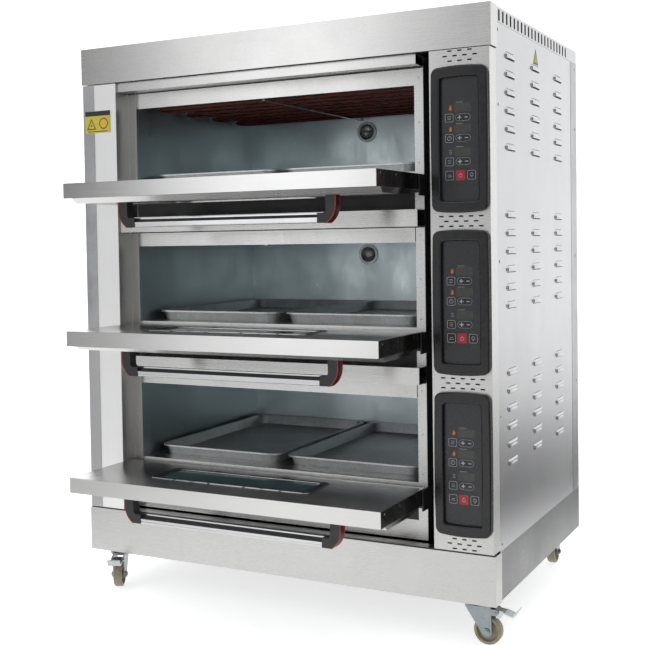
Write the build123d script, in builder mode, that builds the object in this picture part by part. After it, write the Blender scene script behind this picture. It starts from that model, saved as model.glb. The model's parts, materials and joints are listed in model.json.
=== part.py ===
from build123d import *

import os
from math import cos, radians, sin

os.makedirs("parts", exist_ok=True)

# --- driving dimensions, millimetres -------------------------------------------------------
# Machine coordinates: X across the front, Y from the front plane to the back, Z up from the
# floor. The part's origin is the middle of the whole outline on the floor, doors open.
WIDTH = 1220
DEPTH = 832
HEIGHT = 1555
BASE_Z = 111
BASE_TOP = 233
BAND_Z = 1453
RETURN = 48
SHEET = 2
PANEL_X = WIDTH / 2 - 4

DECKS = {"low": 375, "mid": 767, "top": 1159}

COLUMN_BOTTOM = BASE_TOP + 4
COLUMN_TOP = BAND_Z - 2
FLANGE_X = -567
LEFT_JAMB = -491
CONTROL_X = 454
SLOT_BACK_Y = 100

FRAME_Y = 57
FRAME_LEFT = LEFT_JAMB
FRAME_RIGHT = 416
CAVITY = (-460, 392)
CAVITY_BACK = 708
MOUTH_TOP = 222
RAIL_Y = 8
RAIL_TOP = -88
RAIL_BOTTOM = -130
TOP_RAIL = (1426, COLUMN_TOP)

CHAMBER_FLOOR = -34
CHAMBER_CEILING = 236
HEARTH_TOP = 8
HEARTH_THICK = 6
LIP = 38
LIP_THICK = 1.5
ELEMENT_R = 4.5
UPPER_ELEMENTS = {"rise": 226, "count": 4, "pitch": 72}
LOWER_ELEMENTS = {"rise": -14, "count": 3, "pitch": 90}
LAMP = (-33, 184)
LAMP_R = 28

DOOR = (-489, 415)
DOOR_FRONT = -235
DOOR_REAR = 46
DOOR_RIM = 40
DOOR_PANEL = 13
DOOR_WALL = 2
DOOR_LIP = 8
LINER_EDGE = 3
LINER_SHEET = 1.5
PANE = 4
HINGE_Y = 40
HINGE_DROP = 16
HINGE_PIN_R = 5
HINGE_FIT = 0.05
WINDOW = (-278, 162, -134, -17)
WINDOW_R = 14

HANDLE_Y = (-172, -146)
HANDLE_LEFT = -355
HANDLE_RIGHT = 280
HANDLE_DROP = 119
BAR_THICK = 24
BAR_STEP = (15, 13)
BAR_INSET = 49
BRACKET_W = 26

TRAY_W = 400
TRAY_L = 595
TRAY_H = 28
TRAY_Y = 108
TRAYS = {"left": -242, "right": 174}

GLAND = (430, 300)
GLAND_BORE_R = 7
GLAND_BODY_R = 11
GLAND_NUT_R = 15
GLAND_NUT_H = 6
GLAND_OUT = 10

BEZEL_X = 532
BEZEL_W = 144
BEZEL_H = 352
BEZEL_RISE = 76
BEZEL_OUT = 12
VENT = (12, 3.5)
FILM = (97, 298)
BOARD = (104, 300)

WHEEL_R = 35
WHEEL_W = 24
TRAIL = 24
AXLE_R = 5
KING_R = 6
PEDAL_PIVOT = (46, 84)
PEDAL_TIP = 104
CASTERS = {
    "front_right": (548, 57, 0),
    "front_left": (-548, 57, -65),
    "rear_right": (535, 772, 90),
    "rear_left": (-535, 772, 90),
}

# Half the width of the thin slice that picks out edges lying in one plane.
NEAR = 0.01

# The outline runs from the left face to the brake pedal's tip, and from the open doors' front
# edge to the cable gland.
SHIFT_X = -(CASTERS["front_right"][0] + PEDAL_TIP - WIDTH / 2) / 2
SHIFT_Y = -(DEPTH + GLAND_OUT + DOOR_FRONT) / 2


# --- planes and helpers --------------------------------------------------------------------
def level(z):
    """A horizontal plane: local x is X, local y is Y."""
    return Plane(origin=(SHIFT_X, SHIFT_Y, z))


def facing(y):
    """A plane facing the front: local x is X, local y is Z, and it grows towards -Y."""
    return Plane(origin=(SHIFT_X, SHIFT_Y + y, 0), x_dir=(1, 0, 0), z_dir=(0, -1, 0))


def aside(x):
    """A plane facing +X: local x is Y, local y is Z."""
    return Plane(origin=(SHIFT_X + x, SHIFT_Y, 0), x_dir=(0, 1, 0), z_dir=(1, 0, 0))


def block(x0, x1, y0, y1, z0, z1, mode=Mode.ADD):
    """A box between machine coordinates, inside the current part."""
    with BuildSketch(level(z0)) as footprint:
        with Locations(((x0 + x1) / 2, (y0 + y1) / 2)):
            Rectangle(x1 - x0, y1 - y0)
    extrude(footprint.sketch, amount=z1 - z0, mode=mode)


def save(piece, name):
    """Label one finished piece and write its STEP file."""
    piece.part.label = name
    export_step(piece.part, f"parts/{name}.step")


def slots(plane, places, length, height, depth, mode=Mode.SUBTRACT):
    """Round-ended slots through a sheet."""
    with BuildSketch(plane) as pattern:
        with Locations(*places):
            SlotOverall(length, height)
    extrude(pattern.sketch, amount=-depth, mode=mode)


# --- base ----------------------------------------------------------------------------------
def build_base():
    half = WIDTH / 2
    with BuildPart() as front:
        block(-half, half, 0, RETURN, BASE_Z, BASE_TOP)
        block(
            -half + SHEET, half - SHEET, SHEET, RETURN, BASE_Z + SHEET, BASE_TOP - SHEET, Mode.SUBTRACT
        )
    save(front, "base_front")

    rim = 30
    with BuildPart() as pan:
        block(-PANEL_X, PANEL_X, RETURN, DEPTH, BASE_Z, BASE_TOP)
        block(
            -PANEL_X + SHEET, PANEL_X - SHEET, RETURN, DEPTH - SHEET, BASE_Z + SHEET, BASE_TOP - SHEET,
            Mode.SUBTRACT,
        )
        block(-PANEL_X + rim, PANEL_X - rim, RETURN, DEPTH - rim, BASE_TOP - SHEET, BASE_TOP, Mode.SUBTRACT)
    save(pan, "base_pan")


# --- columns, band and skins ---------------------------------------------------------------
def build_left_column():
    with BuildPart() as column:
        block(FLANGE_X, LEFT_JAMB, 1, FRAME_Y + SHEET, COLUMN_BOTTOM, COLUMN_TOP)
        block(
            FLANGE_X, LEFT_JAMB - SHEET, 1 + SHEET, FRAME_Y + SHEET, COLUMN_BOTTOM, COLUMN_TOP, Mode.SUBTRACT
        )
        pin_hole_r = HINGE_PIN_R + 0.5
        with BuildSketch(aside(LEFT_JAMB)):
            with Locations(*[(HINGE_Y, datum - HINGE_DROP) for datum in DECKS.values()]):
                Circle(pin_hole_r)
        extrude(amount=-SHEET, mode=Mode.SUBTRACT)
    save(column, "left_column")


def vent_rows(middle, counts):
    """Staggered rows of small vent slots, centred on the bezels."""
    pitch = 25
    row_gap = 12
    places = []
    for row, count in enumerate(counts):
        z = middle + (1 - row) * row_gap
        for index in range(count):
            places.append((BEZEL_X + (index - (count - 1) / 2) * pitch, z))
    return places


def build_control_column():
    window = (88, 288)
    top_gap = 24
    low_gap = 20
    wide_rows = (5, 4, 5)
    narrow_rows = (3, 4, 3)
    centres = [datum + BEZEL_RISE for datum in DECKS.values()]
    low, mid, top = centres
    vents = vent_rows((low + mid) / 2, wide_rows) + vent_rows((mid + top) / 2, wide_rows)
    vents += vent_rows(top + BEZEL_H / 2 + top_gap, narrow_rows)
    vents += vent_rows(low - BEZEL_H / 2 - low_gap, narrow_rows)
    with BuildPart() as column:
        block(CONTROL_X, PANEL_X, 0, SLOT_BACK_Y, COLUMN_BOTTOM, COLUMN_TOP)
        block(
            CONTROL_X + SHEET, PANEL_X - SHEET, SHEET, SLOT_BACK_Y, COLUMN_BOTTOM, COLUMN_TOP, Mode.SUBTRACT
        )
        block(PANEL_X - SHEET, PANEL_X, RETURN, SLOT_BACK_Y, COLUMN_BOTTOM, COLUMN_TOP, Mode.SUBTRACT)
        block(
            FRAME_RIGHT, CONTROL_X + SHEET, SLOT_BACK_Y, SLOT_BACK_Y + SHEET, COLUMN_BOTTOM, COLUMN_TOP
        )
        with BuildSketch(facing(0)):
            with Locations(*[(BEZEL_X, z) for z in centres]):
                Rectangle(*window)
        extrude(amount=-SHEET, mode=Mode.SUBTRACT)
        slots(facing(0), vents, *VENT, SHEET)
    save(column, "control_column")


def build_band_and_cover():
    half = WIDTH / 2
    with BuildPart() as band:
        block(-half, half, 0, RETURN, BAND_Z, HEIGHT)
        block(
            -half + SHEET, half - SHEET, SHEET, RETURN, BAND_Z + SHEET, HEIGHT - SHEET, Mode.SUBTRACT
        )
    save(band, "top_band")
    with BuildPart() as cover:
        block(-PANEL_X, PANEL_X, RETURN, DEPTH, HEIGHT - SHEET, HEIGHT)
    save(cover, "top_cover")


def louvre_places():
    """Middle of each pressed louvre on a side panel, as (Y, Z)."""
    rows = 6
    pitch = 45
    columns = (161, 387, 617)
    middle_rise = 174
    return [
        (y, datum + middle_rise + (row - (rows - 1) / 2) * pitch)
        for datum in DECKS.values()
        for y in columns
        for row in range(rows)
    ]


def build_side_panel(side, name):
    louvre_w = 70
    louvre_h = 8
    louvre_out = 4
    louvre_wall = 1
    seam_z = 1517
    seam_h = 1.2
    slot_w = 12
    slot_h = 27
    slot_z = 1535
    slot_pitch = 31.5
    slot_count = 21
    slot_y = 76
    face = PANEL_X if side > 0 else -PANEL_X
    inner = face - side * SHEET
    with BuildPart() as panel:
        block(min(face, inner), max(face, inner), RETURN, DEPTH - SHEET, BASE_TOP, HEIGHT - SHEET)
        if side < 0:
            block(face, face + SHEET, 0, RETURN, COLUMN_BOTTOM, COLUMN_TOP)
            block(face, FLANGE_X, 0, SHEET, COLUMN_BOTTOM, COLUMN_TOP)
        with BuildSketch(aside(face)):
            with Locations(*louvre_places()):
                Rectangle(louvre_w, louvre_h)
        extrude(amount=side * louvre_out)
        with BuildSketch(aside(inner)):
            with Locations(*[(y, z - louvre_wall) for y, z in louvre_places()]):
                Rectangle(louvre_w - 3 * louvre_wall, louvre_h - 2 * louvre_wall)
        extrude(amount=side * (SHEET + louvre_out - louvre_wall), mode=Mode.SUBTRACT)
        with BuildSketch(aside(face)):
            with Locations(*[(slot_y + index * slot_pitch, slot_z) for index in range(slot_count)]):
                Rectangle(slot_w, slot_h)
        extrude(amount=-side * SHEET, mode=Mode.SUBTRACT)
        with BuildSketch(aside(face)):
            with Locations(((RETURN + DEPTH) / 2, seam_z)):
                Rectangle(DEPTH - RETURN, seam_h)
        extrude(amount=-side * SHEET / 2, mode=Mode.SUBTRACT)
    save(panel, name)


def build_back():
    gland_x, gland_z = GLAND
    vent_columns = (-200, 0, 200)
    vent_heights = (1290, 1310, 1330, 1350, 1370)
    vents = [(x, z) for x in vent_columns for z in vent_heights]
    vent_w = 110
    vent_h = 6
    with BuildPart() as panel:
        block(-PANEL_X, PANEL_X, DEPTH - SHEET, DEPTH, BASE_TOP, HEIGHT - SHEET)
        slots(facing(DEPTH - SHEET), vents, vent_w, vent_h, SHEET)
        with BuildSketch(facing(DEPTH - SHEET)):
            with Locations((gland_x, gland_z)):
                Circle(GLAND_BODY_R)
        extrude(amount=-SHEET, mode=Mode.SUBTRACT)
    save(panel, "back_panel")

    inside_nut = DEPTH - SHEET - GLAND_NUT_H
    with BuildPart() as gland:
        with BuildSketch(facing(inside_nut)):
            with Locations((gland_x, gland_z)):
                RegularPolygon(GLAND_NUT_R, 6)
        extrude(amount=-GLAND_NUT_H)
        with BuildSketch(facing(DEPTH - SHEET)):
            with Locations((gland_x, gland_z)):
                Circle(GLAND_BODY_R)
        extrude(amount=-SHEET)
        with BuildSketch(facing(DEPTH)):
            with Locations((gland_x, gland_z)):
                RegularPolygon(GLAND_NUT_R, 6)
        extrude(amount=-GLAND_OUT)
        with BuildSketch(facing(inside_nut)):
            with Locations((gland_x, gland_z)):
                Circle(GLAND_BORE_R)
        extrude(amount=-(GLAND_NUT_H + SHEET + GLAND_OUT), mode=Mode.SUBTRACT)
    save(gland, "cable_gland")


# --- decks: front frames, rails, chambers --------------------------------------------------
def build_deck_frames():
    """One front plate behind the doors, with a mouth and a sill lip for each deck."""
    with BuildPart() as frames:
        block(FRAME_LEFT, FRAME_RIGHT, FRAME_Y, FRAME_Y + SHEET, COLUMN_BOTTOM, COLUMN_TOP)
        block(
            FRAME_RIGHT - SHEET, FRAME_RIGHT, FRAME_Y + SHEET, SLOT_BACK_Y, COLUMN_BOTTOM, COLUMN_TOP
        )
        for datum in DECKS.values():
            sill = datum + HEARTH_TOP
            block(*CAVITY, FRAME_Y, FRAME_Y + SHEET, sill, datum + MOUTH_TOP, Mode.SUBTRACT)
            block(*CAVITY, FRAME_Y + SHEET, FRAME_Y + LIP, sill - LIP_THICK, sill)
    save(frames, "deck_frames")


def build_rails():
    """Folded channels that close the front above each door."""
    spans = [TOP_RAIL]
    spans += [(DECKS[deck] + RAIL_BOTTOM, DECKS[deck] + RAIL_TOP) for deck in ("top", "mid")]
    with BuildPart() as rails:
        for low, high in spans:
            block(FRAME_LEFT, FRAME_RIGHT, RAIL_Y, FRAME_Y, low, high)
            block(
                FRAME_LEFT, FRAME_RIGHT, RAIL_Y + SHEET, FRAME_Y, low + SHEET, high - SHEET, Mode.SUBTRACT
            )
    save(rails, "deck_rails")


def build_chamber(deck, datum):
    left, right = CAVITY
    back = CAVITY_BACK
    floor = datum + CHAMBER_FLOOR
    ceiling = datum + CHAMBER_CEILING
    ledge_w = 10
    lamp_play = 0.3
    ledge_z = datum + HEARTH_TOP - HEARTH_THICK
    lamp_x, lamp_z = LAMP
    front = FRAME_Y + SHEET
    with BuildPart() as chamber:
        block(left - SHEET, right + SHEET, front, back + SHEET, floor - SHEET, ceiling + SHEET)
        block(left, right, front, back, floor, ceiling, Mode.SUBTRACT)
        block(left, left + ledge_w, front, back, ledge_z - SHEET, ledge_z)
        block(right - ledge_w, right, front, back, ledge_z - SHEET, ledge_z)
        with BuildSketch(facing(back)):
            with Locations((lamp_x, datum + lamp_z)):
                Circle(LAMP_R + lamp_play)
        extrude(amount=-SHEET, mode=Mode.SUBTRACT)
    save(chamber, f"chamber_{deck}")


def build_hearths():
    gap = 1.5
    with BuildPart() as hearths:
        for datum in DECKS.values():
            top = datum + HEARTH_TOP
            block(
                CAVITY[0] + gap, CAVITY[1] - gap, FRAME_Y + LIP + gap, CAVITY_BACK - gap,
                top - HEARTH_THICK, top,
            )
    save(hearths, "hearth_plates")


def element_rows(count, pitch):
    """Front leg of each hairpin, so that the whole set is centred in the chamber."""
    middle = (FRAME_Y + CAVITY_BACK) / 2
    span = (2 * count - 1) * pitch
    return [middle - span / 2 + 2 * pitch * index for index in range(count)]


def build_elements(name, rise, count, pitch):
    """Hairpin tubes: two legs across the chamber, joined by a bend at the left end."""
    left, right = CAVITY
    bend_gap = 14
    bend_x = left + bend_gap + pitch / 2
    with BuildPart() as elements:
        for datum in DECKS.values():
            for y in element_rows(count, pitch):
                with BuildLine(level(datum + rise)):
                    front_leg = Line((right, y), (bend_x, y))
                    bend = ThreePointArc(
                        front_leg @ 1, (bend_x - pitch / 2, y + pitch / 2), (bend_x, y + pitch)
                    )
                    Line(bend @ 1, (right, y + pitch))
                with BuildSketch(aside(right)):
                    with Locations((y, datum + rise)):
                        Circle(ELEMENT_R)
                sweep()
    save(elements, name)


def build_hangers():
    """A flat strip in each deck, front to back, that holds the upper tubes to the ceiling."""
    strip_w = 8
    strip_x = -54
    strip_thick = 2
    front_gap = 20
    back_gap = 10
    left = strip_x - strip_w / 2
    right = strip_x + strip_w / 2
    front = FRAME_Y + SHEET + front_gap
    back = CAVITY_BACK - back_gap
    with BuildPart() as hangers:
        for datum in DECKS.values():
            under = datum + UPPER_ELEMENTS["rise"] - ELEMENT_R
            block(left, right, front, back, under - strip_thick, under)
            for y in (front, back - strip_thick):
                block(left, right, y, y + strip_thick, under, datum + CHAMBER_CEILING)
    save(hangers, "element_hangers")


def build_lamps():
    """A flanged cup behind the back wall of each chamber, and the glass in it."""
    lamp_x, lamp_z = LAMP
    cup_depth = 44
    cup_wall = 3
    flange = 5
    glass_gap = 4
    glass_thick = 4
    glass_play = 0.2
    with BuildPart() as housings:
        for datum in DECKS.values():
            with BuildSketch(facing(CAVITY_BACK - cup_wall)):
                with Locations((lamp_x, datum + lamp_z)):
                    Circle(LAMP_R + flange)
                    Circle(LAMP_R - cup_wall, mode=Mode.SUBTRACT)
            extrude(amount=-cup_wall)
            with BuildSketch(facing(CAVITY_BACK)):
                with Locations((lamp_x, datum + lamp_z)):
                    Circle(LAMP_R)
            extrude(amount=-cup_depth)
            with BuildSketch(facing(CAVITY_BACK - cup_wall)):
                with Locations((lamp_x, datum + lamp_z)):
                    Circle(LAMP_R - cup_wall)
            extrude(amount=-cup_depth, mode=Mode.SUBTRACT)
    save(housings, "lamp_housings")
    with BuildPart() as glasses:
        for datum in DECKS.values():
            with BuildSketch(facing(CAVITY_BACK + glass_gap)):
                with Locations((lamp_x, datum + lamp_z)):
                    Circle(LAMP_R - cup_wall - glass_play)
            extrude(amount=-glass_thick)
    save(glasses, "lamp_glasses")


def build_insulation():
    left, right = CAVITY
    side = 18
    over = 36
    behind = 60
    back = CAVITY_BACK + SHEET + behind
    front = FRAME_Y + SHEET + 1
    gap = 1
    lamp_x, lamp_z = LAMP
    with BuildPart() as wool:
        for datum in DECKS.values():
            low = datum + CHAMBER_FLOOR - SHEET
            high = datum + CHAMBER_CEILING + SHEET
            block(left - SHEET - side, right + SHEET + side, front, back, low - over, high + over)
            block(
                left - SHEET - gap, right + SHEET + gap, front, CAVITY_BACK + SHEET + gap, low - gap,
                high + gap, Mode.SUBTRACT,
            )
            with BuildSketch(facing(CAVITY_BACK)):
                with Locations((lamp_x, datum + lamp_z)):
                    Circle(LAMP_R + gap)
            extrude(amount=-(SHEET + behind), mode=Mode.SUBTRACT)
    save(wool, "insulation")


# --- control panels ------------------------------------------------------------------------
def bezel_outline(width, height, bow, crown, corner):
    """A tall rounded panel with slightly bowed sides and arched ends."""
    half_w = width / 2
    half_h = height / 2
    side_w = half_w - bow
    end_h = half_h - crown
    with BuildLine() as outline:
        ThreePointArc((-side_w, end_h), (0, half_h), (side_w, end_h))
        ThreePointArc((side_w, end_h), (half_w, 0), (side_w, -end_h))
        ThreePointArc((side_w, -end_h), (0, -half_h), (-side_w, -end_h))
        ThreePointArc((-side_w, -end_h), (-half_w, 0), (-side_w, end_h))
    with BuildSketch() as panel:
        make_face(outline.edges())
        fillet(panel.vertices(), radius=corner)
    return panel.sketch


def panel_plane(datum, y):
    """The plane of one control panel, centred on it and facing the front."""
    origin = (SHIFT_X + BEZEL_X, SHIFT_Y + y, datum + BEZEL_RISE)
    return Plane(origin=origin, x_dir=(1, 0, 0), z_dir=(0, -1, 0))


def build_control_panels():
    film_w, film_h = FILM
    film_thick = 1.5
    outer = bezel_outline(BEZEL_W, BEZEL_H, bow=2, crown=5, corner=18)
    inner = bezel_outline(film_w, film_h, bow=1, crown=2, corner=6)
    edge_round = 4
    with BuildPart() as bezels:
        for datum in DECKS.values():
            with BuildSketch(panel_plane(datum, 0)):
                add(outer)
            extrude(amount=BEZEL_OUT)
            with BuildSketch(panel_plane(datum, 0)):
                add(inner)
            extrude(amount=BEZEL_OUT, mode=Mode.SUBTRACT)
        front_edges = bezels.edges().filter_by_position(
            Axis.Y, SHIFT_Y - BEZEL_OUT - NEAR, SHIFT_Y - BEZEL_OUT + NEAR
        )
        fillet(front_edges, radius=edge_round)
    save(bezels, "panel_bezels")

    with BuildPart() as films:
        for datum in DECKS.values():
            with BuildSketch(panel_plane(datum, 0)):
                add(inner)
            extrude(amount=film_thick)
    save(films, "panel_films")

    board_y = 16
    board_thick = 2
    board_w, board_h = BOARD
    half_w = board_w / 2
    half_h = board_h / 2
    post_r = 3
    post_in = 4
    relay_half_w = 20
    relay_half_h = 14
    relay_out = 20
    relay_pitch = 90
    with BuildPart() as boards:
        for datum in DECKS.values():
            middle = datum + BEZEL_RISE
            back = board_y + board_thick
            block(BEZEL_X - half_w, BEZEL_X + half_w, board_y, back, middle - half_h, middle + half_h)
            for x in (BEZEL_X - half_w + post_in, BEZEL_X + half_w - post_in):
                for z in (middle - half_h + post_in, middle + half_h - post_in):
                    with BuildSketch(facing(SHEET)):
                        with Locations((x, z)):
                            Circle(post_r)
                    extrude(amount=SHEET - board_y)
            for z in (middle - relay_pitch, middle, middle + relay_pitch):
                block(
                    BEZEL_X - relay_half_w, BEZEL_X + relay_half_w, back, back + relay_out,
                    z - relay_half_h, z + relay_half_h,
                )
    save(boards, "control_boards")


# --- hinges --------------------------------------------------------------------------------
def build_hinge_brackets():
    """Plates with the fixed pins that the doors turn on, and the stops they rest on when open."""
    plate = 4
    into_door = 10
    play = 0.5
    stop_thick = 6
    stop_front = 16
    stop_back = 26
    left_front = 24
    left_plate = LEFT_JAMB - SHEET
    right_plate = FRAME_RIGHT + play
    with BuildPart() as brackets:
        for datum in DECKS.values():
            axis_z = datum - HINGE_DROP
            low = datum - DOOR_RIM - DOOR_PANEL - 1
            high = datum - 1
            block(left_plate - plate, left_plate, left_front, FRAME_Y, low, high)
            block(right_plate, right_plate + plate, stop_front, SLOT_BACK_Y, low, high)
            block(FRAME_RIGHT, right_plate, FRAME_Y, SLOT_BACK_Y, low, high)
            with BuildSketch(aside(left_plate)):
                with Locations((HINGE_Y, axis_z)):
                    Circle(HINGE_PIN_R)
            extrude(amount=DOOR[0] - left_plate + into_door)
            with BuildSketch(aside(right_plate)):
                with Locations((HINGE_Y, axis_z)):
                    Circle(HINGE_PIN_R)
            extrude(amount=DOOR[1] - right_plate - into_door)
            stop_top = datum - DOOR_RIM - play
            for x0, x1 in ((LEFT_JAMB, DOOR[0] + into_door), (DOOR[1] - into_door, right_plate)):
                block(x0, x1, stop_front, stop_back, stop_top - stop_thick, stop_top)
    save(brackets, "hinge_brackets")


def build_screws():
    """Pan-head screws of the side panels, all alike."""
    head_r = 4
    head_h = 1.6
    heights = (247, 560, 940, 1320, 1500)
    columns = (68, 816)
    taper = 12
    with BuildPart() as screws:
        for side in (-1, 1):
            with BuildSketch(aside(side * PANEL_X)):
                with Locations(*[(y, z) for y in columns for z in heights]):
                    Circle(head_r)
            extrude(amount=side * head_h, taper=taper)
    save(screws, "panel_screws")


# --- doors, open and level, hinged along their rear edge --------------------------------------
def build_door_shell(deck, datum):
    """Outer pan: rim, raised outer panel with sloped edges, window opening and pin holes."""
    left, right = DOOR
    rim_z = datum - DOOR_RIM
    wall = DOOR_WALL
    inset_x = 3
    front_inset = 30
    rear_inset = 38
    slope_x = 2
    slope_y = 16
    mid_x = (left + right) / 2
    mid_y = (DOOR_FRONT + front_inset + DOOR_REAR - rear_inset) / 2
    width = right - left - 2 * inset_x
    length = DOOR_REAR - DOOR_FRONT - front_inset - rear_inset
    win_x0, win_x1, win_y0, win_y1 = WINDOW
    with BuildPart() as shell:
        with BuildSketch(aside(left)):
            with BuildLine():
                Polyline(
                    (DOOR_FRONT, rim_z), (DOOR_FRONT, datum), (DOOR_REAR, datum), (DOOR_REAR, rim_z),
                    close=True,
                )
            outline = make_face()
            rear_top = outline.vertices().group_by(Axis.X)[-1].sort_by(Axis.Y)[-1]
            fillet(rear_top, radius=DOOR_LIP)
        extrude(amount=right - left)
        with BuildSketch(level(rim_z)):
            with Locations((mid_x, mid_y)):
                Rectangle(width, length)
        with BuildSketch(level(rim_z - DOOR_PANEL)):
            with Locations((mid_x, mid_y)):
                Rectangle(width - 2 * slope_x, length - 2 * slope_y)
        loft()
        inner_rear = DOOR_REAR - DOOR_LIP
        block(
            left + wall, right - wall, DOOR_FRONT + wall, inner_rear, rim_z + wall, datum, Mode.SUBTRACT
        )
        block(
            left + LINER_EDGE, right - LINER_EDGE, DOOR_FRONT + LINER_EDGE, inner_rear,
            datum - LINER_SHEET, datum, Mode.SUBTRACT,
        )
        with BuildSketch(level(rim_z + wall)):
            with Locations((mid_x, mid_y)):
                Rectangle(width - 2 * wall, length - 2 * wall)
        with BuildSketch(level(rim_z - DOOR_PANEL + wall)):
            with Locations((mid_x, mid_y)):
                Rectangle(width - 2 * (slope_x + wall), length - 2 * (slope_y + wall))
        loft(mode=Mode.SUBTRACT)
        with BuildSketch(level(rim_z - DOOR_PANEL)):
            with Locations(((win_x0 + win_x1) / 2, (win_y0 + win_y1) / 2)):
                RectangleRounded(win_x1 - win_x0, win_y1 - win_y0, WINDOW_R)
        extrude(amount=2 * wall, mode=Mode.SUBTRACT)
        with BuildSketch(aside(left)):
            with Locations((HINGE_Y, datum - HINGE_DROP)):
                Circle(HINGE_PIN_R + HINGE_FIT)
        extrude(amount=right - left, mode=Mode.SUBTRACT)
    save(shell, f"door_shell_{deck}")


def build_door_liner(deck, datum):
    """Inner sheet with the window opening, and the box that joins the two panes."""
    left, right = DOOR
    edge = LINER_EDGE
    win_x0, win_x1, win_y0, win_y1 = WINDOW
    window_x = (win_x0 + win_x1) / 2
    window_y = (win_y0 + win_y1) / 2
    window_w = win_x1 - win_x0
    window_l = win_y1 - win_y0
    box_in = 4
    box_out = 8
    box_low = datum - DOOR_RIM - DOOR_PANEL + DOOR_WALL + PANE
    box_high = datum - LINER_SHEET - PANE
    with BuildPart() as liner:
        block(
            left + edge, right - edge, DOOR_FRONT + edge, DOOR_REAR - DOOR_LIP, datum - LINER_SHEET, datum
        )
        with BuildSketch(level(datum - LINER_SHEET)):
            with Locations((window_x, window_y)):
                RectangleRounded(window_w, window_l, WINDOW_R)
        extrude(amount=LINER_SHEET, mode=Mode.SUBTRACT)
        with BuildSketch(level(box_low)):
            with Locations((window_x, window_y)):
                Rectangle(window_w + box_out, window_l + box_out)
                Rectangle(window_w + box_in, window_l + box_in, mode=Mode.SUBTRACT)
        extrude(amount=box_high - box_low)
    save(liner, f"door_liner_{deck}")


def build_door_glass(deck, datum):
    win_x0, win_x1, win_y0, win_y1 = WINDOW
    lap = 6
    low = datum - DOOR_RIM - DOOR_PANEL + DOOR_WALL
    with BuildPart() as glass:
        for z in (low, datum - LINER_SHEET - PANE):
            block(win_x0 - lap, win_x1 + lap, win_y0 - lap, win_y1 + lap, z, z + PANE)
    save(glass, f"door_glass_{deck}")


def build_handle(deck, datum):
    """Two curved brackets under the raised panel, and a grooved bar between them."""
    top = datum - DOOR_RIM - DOOR_PANEL
    bottom = datum - HANDLE_DROP
    bar_top = bottom + BAR_THICK
    front, back = HANDLE_Y
    lower_run = 24
    straight = 20
    curve_start = top - straight
    bulge_in = 0.32
    bulge_up = 0.36
    elbow_r = 9
    with BuildPart() as brackets:
        for outer, inward in ((HANDLE_LEFT, 1), (HANDLE_RIGHT, -1)):
            toe = outer + inward * lower_run
            inner = outer + inward * BRACKET_W
            bar_end = outer + inward * BAR_INSET
            with BuildSketch(facing(back)):
                with BuildLine():
                    heel = Line((outer, top), (outer, curve_start))
                    bulge_x = outer + inward * lower_run * bulge_in
                    bulge = (bulge_x, bottom + (curve_start - bottom) * bulge_up)
                    curve = ThreePointArc(heel @ 1, bulge, (toe, bottom))
                    Polyline(curve @ 1, (bar_end, bottom), (bar_end, bar_top), (inner, bar_top))
                    Polyline((inner, bar_top), (inner, top), (outer, top))
                side = make_face()
                corners = side.vertices()
                elbow = [v for v in corners if abs(v.X - inner) < NEAR and abs(v.Y - bar_top) < NEAR]
                fillet(elbow, radius=elbow_r)
            extrude(amount=back - front)
    save(brackets, f"handle_brackets_{deck}")

    groove_w = 2
    groove_deep = 1.5
    edge = 1
    bar_r = 3
    left = HANDLE_LEFT + BAR_INSET
    right = HANDLE_RIGHT - BAR_INSET
    step_y, step_z = BAR_STEP
    with BuildPart() as bar:
        with BuildSketch(aside(left)):
            with BuildLine():
                Polyline(
                    (front + edge, bottom), (back - edge, bottom), (back - edge, bar_top),
                    (front + step_y, bar_top), (front + step_y, bottom + step_z),
                    (front + edge, bottom + step_z), close=True,
                )
            section = make_face()
            fillet(section.vertices().group_by(Axis.Y)[0], radius=bar_r)
            fillet(section.vertices().group_by(Axis.Y)[-1], radius=bar_r)
            with Locations((front + edge, bottom + step_z / 2)):
                Rectangle(2 * groove_deep, groove_w, mode=Mode.SUBTRACT)
        extrude(amount=right - left)
    save(bar, f"handle_bar_{deck}")


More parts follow.
